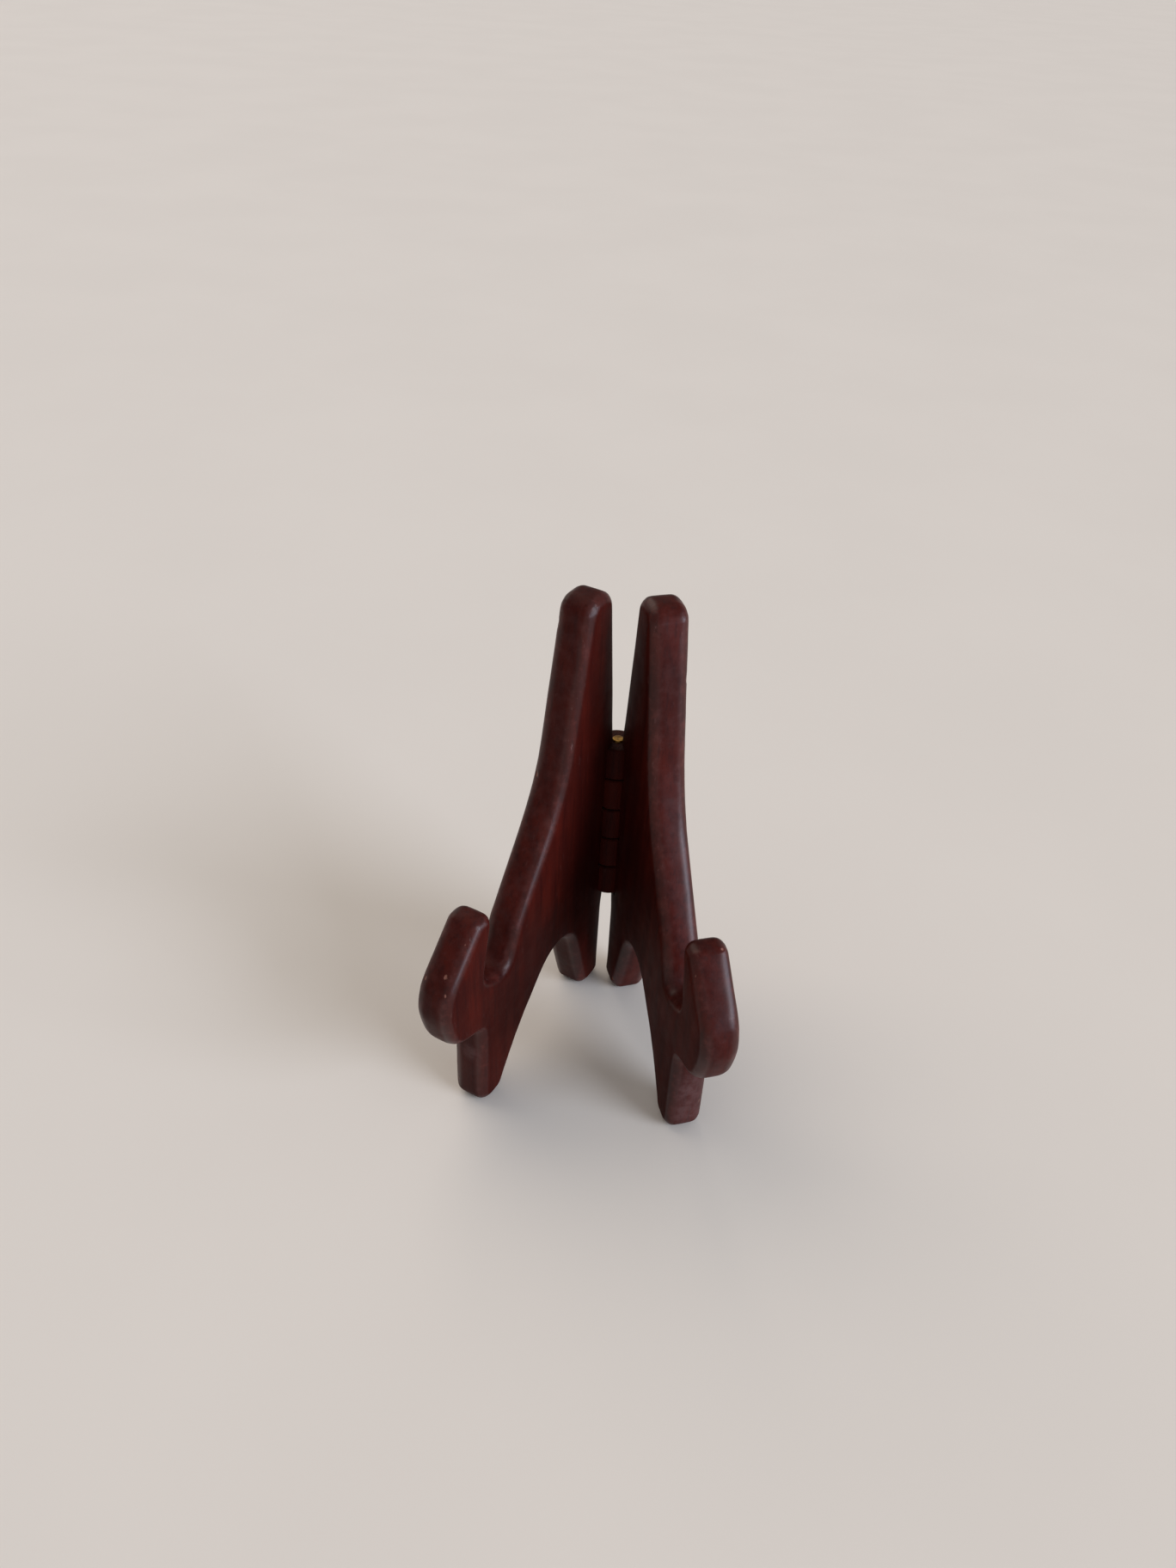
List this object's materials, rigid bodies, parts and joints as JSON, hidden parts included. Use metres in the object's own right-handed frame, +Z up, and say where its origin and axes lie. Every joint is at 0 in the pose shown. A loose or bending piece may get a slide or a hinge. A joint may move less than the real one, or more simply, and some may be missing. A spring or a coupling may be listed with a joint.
{
  "type": "folding plate display stand",
  "caption": "Small folding wooden stand: two profiled boards hinged at the back by a pin through their knuckles, hooks hold a plate's rim.",
  "frame": {"origin": "middle of the space that the open stand takes up, on the table that its feet rest on", "axes": "+Z up, along the hinge pin; -Y towards the hooks and the viewer; +X to the viewer's right"},
  "size_m": [0.0744, 0.0732, 0.126],
  "materials": {
    "stained_wood": "satin lacquer over dark red-brown stain",
    "pin_brass": "dull, drawn rod"
  },
  "bodies": {
    "left_half": {"left_board": "stained_wood", "hinge_pin": "pin_brass"},
    "right_half": {"right_board": "stained_wood"}
  },
  "joints": [
    {"name": "fold", "type": "hinge", "parent": "left_half", "child": "right_half", "pos_m": [0, 0.03157, 0.057], "axis": [0, 0, 1], "range_deg": [-45, 135]}
  ]
}
